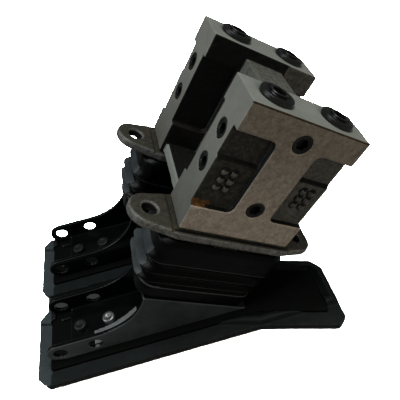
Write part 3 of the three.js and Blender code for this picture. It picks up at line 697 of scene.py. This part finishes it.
def flush_profile(radius, inner):
    """A plug that ends just below its face, with a shallow recess out to inner round the socket."""
    return [(radius, -FLUSH_LENGTH), (radius, -1.0), (radius - 0.7, -0.25), (inner + 1.7, -0.25),
            (inner + 1.2, -0.6), (inner + 0.4, -0.6)]


# profile, width of the hexagon socket across its flats, depth of the socket
HEADS = {
    "port": (PORT_PLUG, 10, 8.0),
    "face": (flush_profile(7.9, 5.2), 9, 4.5),
    "side": (flush_profile(7.5, 4.7), 8, 4.5),
    "bolt": (BOLT_HEAD, 4.2, 1.6),
}


def add_plug(node, head, matrix, body, finish="black_oxide"):
    obj = turned_head(f"{node}_turned", *HEADS[head])
    dress(obj, finish)
    place(obj, matrix)
    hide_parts(node)
    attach(obj, body)


def build_plugs():
    for side, sign in SIDES.items():
        y = sign * HALF_PITCH
        for end, hand in ENDS.items():
            at = VALVE @ Matrix.Translation((hand * BORE_X, y, PORT_SEAT_Z))
            add_plug(f"{side}_port_plug_{end}", "port", at, "valve_body")
        outward = Matrix.Rotation(-sign * math.pi / 2, 4, "X")
        for level, z in FACE_PLUG_Z.items():
            at = VALVE @ Matrix.Translation((0, sign * OUTER_FACE, z)) @ outward
            add_plug(f"{side}_face_plug_{level}", "face", at, "valve_body")
        toeward = Matrix.Rotation(-math.pi / 2, 4, "Y")
        for level, z in SIDE_PLUG_Z.items():
            at = VALVE @ Matrix.Translation((-BLOCK_HALF, y, z)) @ toeward
            add_plug(f"{side}_side_plug_{level}", "side", at, "valve_body")
        for end, x in BASE_BOLT_X.items():
            at = pedal_frame(side) @ Matrix.Translation((x, 0, BASE_BOLT_SEAT))
            # the near heel bolt's bright metal is a painted glint; the other bolts are plain dark
            finish = "glint_bolt" if (side, end) == ("near", "heel") else "dull_bolt"
            add_plug(f"{side}_base_bolt_{end}", "bolt", at, f"{side}_pedal", finish)


# ---------------------------------------------------------------- brackets


def fillet_shape(y, into, z, x0, x1, radius, steps=5):
    """The inside curve where the bracket's floor is folded up into a side plate at y."""
    outline = [(0.0, 0.0)]
    for i in range(steps + 1):
        a = math.pi / 2 * i / steps
        outline.append((radius * (1 - math.sin(a)), radius * (1 - math.cos(a))))
    verts = [(x, y + into * (u - 0.6), z + v - 0.6) for x in (x0, x1) for u, v in outline]
    n = len(outline)
    faces = [tuple(range(n)), tuple(range(2 * n - 1, n - 1, -1))]
    faces += [(i, i + n, (i + 1) % n + n, (i + 1) % n) for i in range(n)]
    if into > 0:
        faces = [tuple(reversed(f)) for f in faces]
    return verts, faces


FOLD_RADIUS = 4.6
TONGUE_X = (25.0, 40.0)  # two narrow tongues that stick out of the floor's toe end
TONGUE_Y = (-16.0, 16.0)
TONGUE_HALF = 1.2
GLINT_FLOOR_X = (60.0, 106.0)  # painted glint in a strip on the near bracket's floor
GLINT_FLOOR_Y = -9.0
GLINT_FLOOR_BEND = 0.0072


def bracket_extras():
    inner = BRACKET_HALF - BRACKET_SHEET
    x0, x1 = BRACKET_FLOOR_X[0], BRACKET_FLOOR_X[1] - 12
    shapes = [fillet_shape(s * inner, -s, BRACKET_FLOOR_TOP, x0, x1, FOLD_RADIUS) for s in (-1, 1)]
    low, high = BRACKET_FLOOR_Z + 0.2, BRACKET_FLOOR_Z + 2.6
    shapes += [box_shape(*TONGUE_X, y - TONGUE_HALF, y + TONGUE_HALF, low, high) for y in TONGUE_Y]
    return shapes


def near_bracket_masks(centre, facing):
    x, y, z = centre.T
    # painted sheen on the outer faces
    outside = (np.abs(y) > BRACKET_HALF - 0.6) & (np.abs(facing[:, 1]) > 0.7)
    # painted glint in a strip of the floor next to the near side plate
    glint_to = GLINT_FLOOR_Y + GLINT_FLOOR_BEND * (x - GLINT_FLOOR_X[0]) ** 2
    glint_faces = (facing[:, 2] > 0.8) & (z < BRACKET_FLOOR_Z + 6) & (y < glint_to) & within(x, GLINT_FLOOR_X)
    return [("plate_sheen", outside), ("floor_glint", glint_faces)]


def build_brackets():
    shape = merged(cad_arrays("near_bracket", pedal_frame("near")), *bracket_extras())
    near = remeshed("near_bracket_painted", shape, BRACKET_VOXEL, 2)
    far = twin(near, "far_bracket_painted")
    paint(near, ("black_paint", "plate_sheen", "floor_glint"), near_bracket_masks(*faces_of(near)))
    # the far bracket keeps plain black paint, without the near one's painted sheen and glint
    paint(far, ("black_paint",))
    for side, obj in (("near", near), ("far", far)):
        place(obj, pedal_frame(side))
        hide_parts(f"{side}_bracket")
        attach(obj, f"{side}_pedal")


# ---------------------------------------------------------------- pads

PEDAL_LENGTH = 307.5
TOE_Y = (-51.0, 33.0)  # near and far side from the toe to the bend
HEEL_Y = (-76.2, 2.4)  # and at the heel end
PEDAL_CORNERS = [(0, TOE_Y[0]), (BEND_X[0], TOE_Y[0]), (PEDAL_LENGTH, HEEL_Y[0]),
                 (PEDAL_LENGTH, HEEL_Y[1]), (BEND_X[1], TOE_Y[1]), (0, TOE_Y[1])]
BEND_CORNERS = (1, 4)  # these two stay sharp
CORNER_CUT = 9.0


def depth_inside(xy, corners):
    """Distance from each point to the nearest side line of an outline, positive inside."""
    depth = np.full(len(xy), np.inf)
    for (x0, y0), (x1, y1) in zip(corners, corners[1:] + corners[:1]):
        length = math.hypot(x1 - x0, y1 - y0)
        across = ((xy[:, 1] - y0) * (x1 - x0) - (xy[:, 0] - x0) * (y1 - y0)) / length
        depth = np.minimum(depth, across)
    return depth


def cut_corners(corners, cut):
    """The outline with a straight cut across every corner but the two bends."""
    made = []
    for i, (x, y) in enumerate(corners):
        if i in BEND_CORNERS:
            made.append((x, y))
            continue
        for other_x, other_y in (corners[i - 1], corners[(i + 1) % len(corners)]):
            reach = math.hypot(other_x - x, other_y - y)
            made.append((x + (other_x - x) * cut / reach, y + (other_y - y) * cut / reach))
    return made


PEDAL_OUTLINE = cut_corners(PEDAL_CORNERS, CORNER_CUT)
RIM_EDGE = 4.5  # rounding of the rim's outer edge
RIM_FLAT = 7.5  # from the outside to where the rim starts to slope down into the tray
RIM_SLOPE = 0.55
RIM_WIDTH = 12.4  # from the outside to the tray
RIM_FOOT_Z = 7.0  # the rim's top is above this all along the pedal
TREAD_PITCH = 13.0
TREAD_DEPTH = 1.6
TREAD_MARGIN = 7.0
TREAD_GAP_Y, TREAD_GAP_HALF = -9.0, 3.0  # smooth strip down the middle of the tread
# the toe rim has a painted sheen up to here
PALE_TOE_X = 14.0
PALE_RIM_X = 150.0  # the near rim has a painted sheen up to here and painted shade beyond
RIM_BAND = (4.0, 13.0)  # from the outside, the slope of the near rim


def pad_masks(centre, facing):
    x, y, z = centre.T
    depth = depth_inside(centre[:, :2], PEDAL_OUTLINE)
    raised = (z > RIM_FOOT_Z) & (facing[:, 2] > 0.45)
    near_rim = raised & (y < 0) & within(depth, RIM_BAND)
    return [
        # painted sheen on the toe rim and the near rim, painted shade on the near rim towards the heel
        ("rim_sheen", raised & (x < PALE_TOE_X)),
        ("rim_sheen", near_rim & (x < PALE_RIM_X)),
        ("pad_shade", near_rim & (depth >= RIM_FLAT) & (x >= PALE_RIM_X)),
    ]


def build_pads():
    near = remeshed("near_pad_moulded", cad_arrays("near_pad", pedal_frame("near")), PAD_VOXEL, 2)
    co = points_of(near)
    depth = depth_inside(co[:, :2], PEDAL_OUTLINE)
    rounding = np.clip(1 - depth / RIM_EDGE, 0, 1)
    ceiling = PAD_TOP - RIM_EDGE * (1 - np.sqrt(1 - rounding ** 2))
    ceiling -= np.clip(depth - RIM_FLAT, 0, None) * RIM_SLOPE
    ceiling = np.where(depth > RIM_WIDTH, TRAY_TOP, ceiling)
    co[:, 2] = np.minimum(co[:, 2], ceiling)
    groove = np.clip(3.2 * np.abs(np.sin(math.pi * co[:, 0] / TREAD_PITCH)) - 0.7, 0, 1)
    beside_gap = np.clip((np.abs(co[:, 1] - TREAD_GAP_Y) - TREAD_GAP_HALF) / 2, 0, 1)
    under = (co[:, 2] < 3) * np.clip((depth - TREAD_MARGIN) / 2, 0, 1)
    co[:, 2] += under * TREAD_DEPTH * (1 - groove * beside_gap)
    co += (lumps(co, 9.0, 8) * 0.12 + lumps(co, 3.0, 9) * 0.05)[:, None] * normals_of(near)
    co[:, 2] = np.maximum(co[:, 2], 0)
    set_points(near, co)
    paint(near, ("pad_rubber", "rim_sheen", "pad_shade"), pad_masks(*faces_of(near)))
    far = twin(near, "far_pad_moulded")
    for side, obj in (("near", near), ("far", far)):
        place(obj, pedal_frame(side))
        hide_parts(f"{side}_pad")
        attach(obj, f"{side}_pedal")


# ---------------------------------------------------------------- boots

# reach to toe, reach to heel, half width and z of each level, from the foot up
BOOT_PROFILE = [
    (60, 56, 27.0, BOOT_FOOT_Z),
    (62.5, 57, 27.6, -78.5),
    (63, 57, 27.6, -67.5),
    (61.5, 54, 25.4, -63.4),
    (69, 58, 28.0, -60.0),
    (69.4, 58.4, 28.1, -58.2),
    (63.6, 54.6, 25.6, -53.2),
    (70.2, 59, 28.4, -47.8),
    (70.4, 59.2, 28.5, -46.0),
    (63.6, 55.6, 25.8, -40.4),
    (68.4, 61, 28.4, -34.4),
    (68.8, 61.2, 28.6, -31.0),
    (66.8, 61, 28.5, -25.0),
    (66.4, 61, 28.4, -14.0),
    (65.0, 60, 27.8, -11.5),
    (61.5, 57, 26.0, BOOT_HEAD_Z),
]
BOOT_HOLLOW = (51, 51, 22.5)
BOOT_HOLLOW_Z = (BOOT_HEAD_Z, -32.0, -58.0, BOOT_FOOT_Z)
BOOT_STEPS = 4
CREST_Z = (-34.0, -47.6, -59.8, -67.0)  # edges of the folds, with a painted highlight in grey
CREST_HALF = 0.55
PALE_END_X, PALE_END_HALF_Y, PALE_END_Z = -64.4, 21.0, -24.0  # painted sheen in pale patches on the folds' toe ends


def smoothed_profile(rows, steps):
    """More rows on a Catmull-Rom curve through the given ones."""
    rows = np.array(rows, float)
    padded = np.vstack([2 * rows[0] - rows[1], rows, 2 * rows[-1] - rows[-2]])
    made = []
    for i in range(1, len(padded) - 2):
        before, a, b, after = padded[i - 1 : i + 3]
        for t in np.arange(steps) / steps:
            made.append(0.5 * (2 * a + (b - before) * t + (2 * before - 5 * a + 4 * b - after) * t * t
                               + (3 * a - before - 3 * b + after) * t ** 3))
    return made + [rows[-1]]


def boot_level(toe, heel, half_y, z, corner=14.0, arc=7, side=10, end=5):
    """One level of a boot as points round a rectangle with round corners.

    The points are arc steps to a corner, side steps along a long side and end steps along an end.
    """
    r = min(half_y - 1, corner)
    points = []
    for cx, cy, start in ((heel - r, -half_y + r, -90), (heel - r, half_y - r, 0),
                          (-toe + r, half_y - r, 90), (-toe + r, -half_y + r, 180)):
        for i in range(arc + 1):
            a = math.radians(start + 90 * i / arc)
            points.append((cx + r * math.cos(a), cy + r * math.sin(a)))
    full = []
    for i, (x, y) in enumerate(points):
        full.append((x, y, z))
        nx, ny = points[(i + 1) % len(points)]
        gap = math.hypot(nx - x, ny - y)
        if gap > 1.2 * r * math.pi / 2 / arc:
            parts = side if abs(nx - x) > abs(ny - y) else end
            full += [(x + (nx - x) * k / parts, y + (ny - y) * k / parts, z) for k in range(1, parts)]
    return full


def build_boot(side):
    middle = SIDES[side] * HALF_PITCH
    levels = [boot_level(*row) for row in smoothed_profile(BOOT_PROFILE, BOOT_STEPS)]
    levels += [boot_level(*BOOT_HOLLOW, z) for z in BOOT_HOLLOW_Z]
    count = len(levels[0])
    faces = []
    for i in range(len(levels)):
        a, b = i * count, (i + 1) % len(levels) * count
        faces += [(a + j, a + (j + 1) % count, b + (j + 1) % count, b + j) for j in range(count)]
    obj = new_object(f"{side}_boot_moulded", [p for level in levels for p in level], faces)
    obj.data.transform(Matrix.Translation((0, middle, 0)))
    fine = obj.modifiers.new("fine", "SUBSURF")
    fine.levels = fine.render_levels = 1
    apply_modifiers(obj)
    co, normal = points_of(obj), normals_of(obj)
    set_points(obj, co + (0.22 * lumps(co, 11.0, 12) + 0.06 * lumps(co, 3.0, 13))[:, None] * normal)
    centre = faces_of(obj)[0]
    off_crest = np.min([np.abs(centre[:, 2] - z) for z in CREST_Z], axis=0)
    at_middle = np.abs(centre[:, 1] - middle) < PALE_END_HALF_Y
    pale_end = (centre[:, 0] < PALE_END_X) & at_middle & (centre[:, 2] < PALE_END_Z)
    # painted highlights along the fold crests and painted sheen on the toe ends
    masks = [("crest_highlight", off_crest < CREST_HALF), ("toe_sheen", pale_end)]
    paint(obj, ("boot_rubber", "crest_highlight", "toe_sheen"), masks)
    place(obj, VALVE)
    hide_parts(f"{side}_boot")
    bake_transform(obj)


# ---------------------------------------------------------------- return springs

COIL_R, WIRE_R = 6.4, 1.0
COIL_TURNS = 4
COIL_Z = (32.8, 50.5)  # on the pushrod's collar and under the casting's shoulder
COIL_STEPS, WIRE_STEPS = 144, 12


def build_spring(side, end):
    """A coil between pushrod and casting, its wire closed at both ends."""
    low, top = COIL_Z
    verts, faces = [], []
    for i in range(COIL_STEPS + 1):
        share = i / COIL_STEPS
        turn = 2 * math.pi * COIL_TURNS * share
        for k in range(WIRE_STEPS):
            round_wire = 2 * math.pi * k / WIRE_STEPS
            radius = COIL_R + WIRE_R * math.cos(round_wire)
            z = low + (top - low) * share + WIRE_R * math.sin(round_wire)
            verts.append((radius * math.cos(turn), radius * math.sin(turn), z))
    for i in range(COIL_STEPS):
        for k in range(WIRE_STEPS):
            a, b = i * WIRE_STEPS + k, i * WIRE_STEPS + (k + 1) % WIRE_STEPS
            faces.append((b, a, a + WIRE_STEPS, b + WIRE_STEPS))
    faces.append(tuple(range(WIRE_STEPS)))
    faces.append(tuple(reversed(range(COIL_STEPS * WIRE_STEPS, (COIL_STEPS + 1) * WIRE_STEPS))))
    obj = new_object(f"{side}_return_spring_{end}_wound", verts, faces)
    obj.data.set_sharp_from_angle(angle=math.radians(60))
    dress(obj, "spring_steel")
    axis = Vector((ENDS[end] * BORE_X, SIDES[side] * HALF_PITCH, 0))
    place(obj, VALVE @ Matrix.Translation(axis))
    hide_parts(f"{side}_return_spring_{end}")
    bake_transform(obj)


# ---------------------------------------------------------------- CAD nodes that stay

# part of the node's name, material
KEPT = {
    "flange_screw": "black_oxide",
    "rocker_bolt": "black_oxide",
    "rocker_bush": "bronze",
    "rod_guide": "bronze",
    "rocker": "forged_steel",
    "pivot_pin": "ground_steel",
    "spool": "ground_steel",
    "pushrod": "ground_steel",
    "tread_plate": "tray_black",
}
PLATE_BEVEL, PIECE_BEVEL = 0.6, 0.2


def dress_kept_nodes():
    for name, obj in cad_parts.items():
        kind = next((k for k in KEPT if k in name), None)
        if kind is None:
            continue
        dress(obj, KEPT[kind])
        bevel = obj.modifiers.new("edge", "BEVEL")
        bevel.width = (PLATE_BEVEL if kind == "tread_plate" else PIECE_BEVEL) * MM
        bevel.segments = 2
        bevel.limit_method = "ANGLE"
        bevel.angle_limit = math.radians(50)


# ---------------------------------------------------------------- stage, light and camera

# the camera, fitted to straight edges and holes of the object
EYE = Vector((183.9 + TOE_X, -306.97 + MID_Y, 404.8)) * MM
FORWARD = Vector((0.05322, 0.67651, -0.73451))
UP = Vector((0.26188, 0.70035, 0.66402))
LENS = 38.61
SHIFT = (-0.0304, 0.0449)
SENSOR = 36.0

FLOOR_HALF = 2.5
FLOOR_Z = -0.0004
FLOOR_SEEN = 30.0  # the floor's white for the camera, lifted so that shadows on it don't show
FLOOR_GLOSS = 0.2  # the floor's white for reflections
FLOOR_IN_GAP = 0.05  # the floor's white for the camera between the pedals, darkened as a painted shadow
GAP_HALF = 20.0
GAP_X = (TOE_X + 2.0, TOE_X + 235.0)
# axis, where the gap's mask is 0 and where it is 1
GAP_SIDES = (
    ("Y", MID_Y - GAP_HALF - 3, MID_Y - GAP_HALF),
    ("Y", MID_Y + GAP_HALF + 3, MID_Y + GAP_HALF),
    ("X", GAP_X[0] - 6, GAP_X[0]),
    ("X", GAP_X[1] + 10, GAP_X[1]),
)
SKY_MATT = 0.05  # strength of the sky for matt surfaces
SKY_GLOSS = 0.03  # added to it for gloss

AIM = Vector((0.0, 0.0, 0.12))  # all lights point here
# place, size in metres, power in watts, colour, whether gloss shows it
LIGHTS = {
    "toe_window": ((-0.95, -0.1, 0.85), 0.8, 6.4, (0.93, 0.98, 1.0), True),
    "top_window": ((0.2, 0.05, 1.5), 0.7, 11.5, (0.97, 1.0, 0.98), True),
    "front_fill": ((0.7, -1.0, 0.4), 0.7, 6.6, (1.0, 0.92, 0.81), False),
    "back_fill": ((0.5, 1.3, 0.6), 0.8, 2.6, (1.0, 0.97, 0.93), False),
}


def make_camera():
    data = bpy.data.cameras.new("camera")
    data.lens = LENS
    data.sensor_width = SENSOR
    data.shift_x, data.shift_y = SHIFT
    data.clip_start = 0.01
    cam = bpy.data.objects.new("camera", data)
    back = -FORWARD.normalized()
    right = UP.cross(back).normalized()
    up = back.cross(right)
    cam.matrix_world = Matrix.Translation(EYE) @ Matrix((right, up, back)).transposed().to_4x4()
    bpy.context.scene.collection.objects.link(cam)
    bpy.context.scene.camera = cam


def gap_mask(tree):
    """How far a floor point lies inside the narrow gap between the pedals, from 0 to 1; there the floor gets
    a painted shadow.
    """
    place_on = tree.nodes.new("ShaderNodeNewGeometry")
    axes = tree.nodes.new("ShaderNodeSeparateXYZ")
    tree.links.new(place_on.outputs["Position"], axes.inputs["Vector"])
    mask = None
    for axis, outside, inside in GAP_SIDES:
        side = tree.nodes.new("ShaderNodeMapRange")
        side.inputs["From Min"].default_value = outside * MM
        side.inputs["From Max"].default_value = inside * MM
        tree.links.new(axes.outputs[axis], side.inputs["Value"])
        if mask is None:
            mask = side.outputs["Result"]
            continue
        both = tree.nodes.new("ShaderNodeMath")
        both.operation = "MULTIPLY"
        tree.links.new(mask, both.inputs[0])
        tree.links.new(side.outputs["Result"], both.inputs[1])
        mask = both.outputs["Value"]
    return mask


def make_floor():
    """A floor that looks white, with a painted shadow between the pedals; gloss shows it, but it lights
    nothing.
    """
    h = FLOOR_HALF
    floor = new_object("floor", [(-h, -h, 0), (h, -h, 0), (h, h, 0), (-h, h, 0)], [(0, 1, 2, 3)])
    floor.location.z = FLOOR_Z
    material = bpy.data.materials.new("floor_white")
    material.use_nodes = True
    tree = material.node_tree
    tree.nodes.remove(tree.nodes["Principled BSDF"])
    path = tree.nodes.new("ShaderNodeLightPath")
    mix = tree.nodes.new("ShaderNodeMixShader")
    tree.links.new(path.outputs["Is Camera Ray"], mix.inputs["Fac"])
    seen = tree.nodes.new("ShaderNodeMixShader")
    tree.links.new(gap_mask(tree), seen.inputs["Fac"])
    for node, socket, white in ((mix, 1, FLOOR_GLOSS), (seen, 1, FLOOR_SEEN), (seen, 2, FLOOR_IN_GAP)):
        matt = tree.nodes.new("ShaderNodeBsdfDiffuse")
        matt.inputs["Color"].default_value = (white, white, white, 1)
        tree.links.new(matt.outputs["BSDF"], node.inputs[socket])
    tree.links.new(seen.outputs["Shader"], mix.inputs[2])
    tree.links.new(mix.outputs["Shader"], tree.nodes["Material Output"].inputs["Surface"])
    floor.data.materials.append(material)
    floor.visible_diffuse = False


def make_world():
    """White behind the object, and a dim sky for gloss and for matt surfaces."""
    world = bpy.data.worlds.new("studio")
    world.use_nodes = True
    tree = world.node_tree
    path = tree.nodes.new("ShaderNodeLightPath")
    background = tree.nodes["Background"]
    background.inputs["Color"].default_value = (1, 1, 1, 1)
    glossy = tree.nodes.new("ShaderNodeMath")
    glossy.operation = "MULTIPLY_ADD"
    tree.links.new(path.outputs["Is Glossy Ray"], glossy.inputs[0])
    glossy.inputs[1].default_value = SKY_GLOSS
    glossy.inputs[2].default_value = SKY_MATT
    total = tree.nodes.new("ShaderNodeMath")
    total.operation = "MAXIMUM"
    tree.links.new(path.outputs["Is Camera Ray"], total.inputs[0])
    tree.links.new(glossy.outputs[0], total.inputs[1])
    tree.links.new(total.outputs[0], background.inputs["Strength"])
    bpy.context.scene.world = world


def add_light(name, spot, size, power, color, in_gloss):
    data = bpy.data.lights.new(name, "AREA")
    data.shape = "DISK"
    data.size = size
    data.energy = power
    data.color = color
    light = bpy.data.objects.new(name, data)
    light.location = spot
    light.rotation_euler = (AIM - Vector(spot)).to_track_quat("-Z", "Y").to_euler()
    light.visible_glossy = in_gloss
    bpy.context.scene.collection.objects.link(light)


build_casting()
for pedal in SIDES:
    build_flange(pedal)
    build_boot(pedal)
    for rod in ENDS:
        build_spring(pedal, rod)
build_plugs()
build_brackets()
build_pads()
dress_kept_nodes()
make_camera()
make_floor()
make_world()
for light, recipe in LIGHTS.items():
    add_light(light, *recipe)
bpy.context.scene.view_settings.view_transform = "Standard"
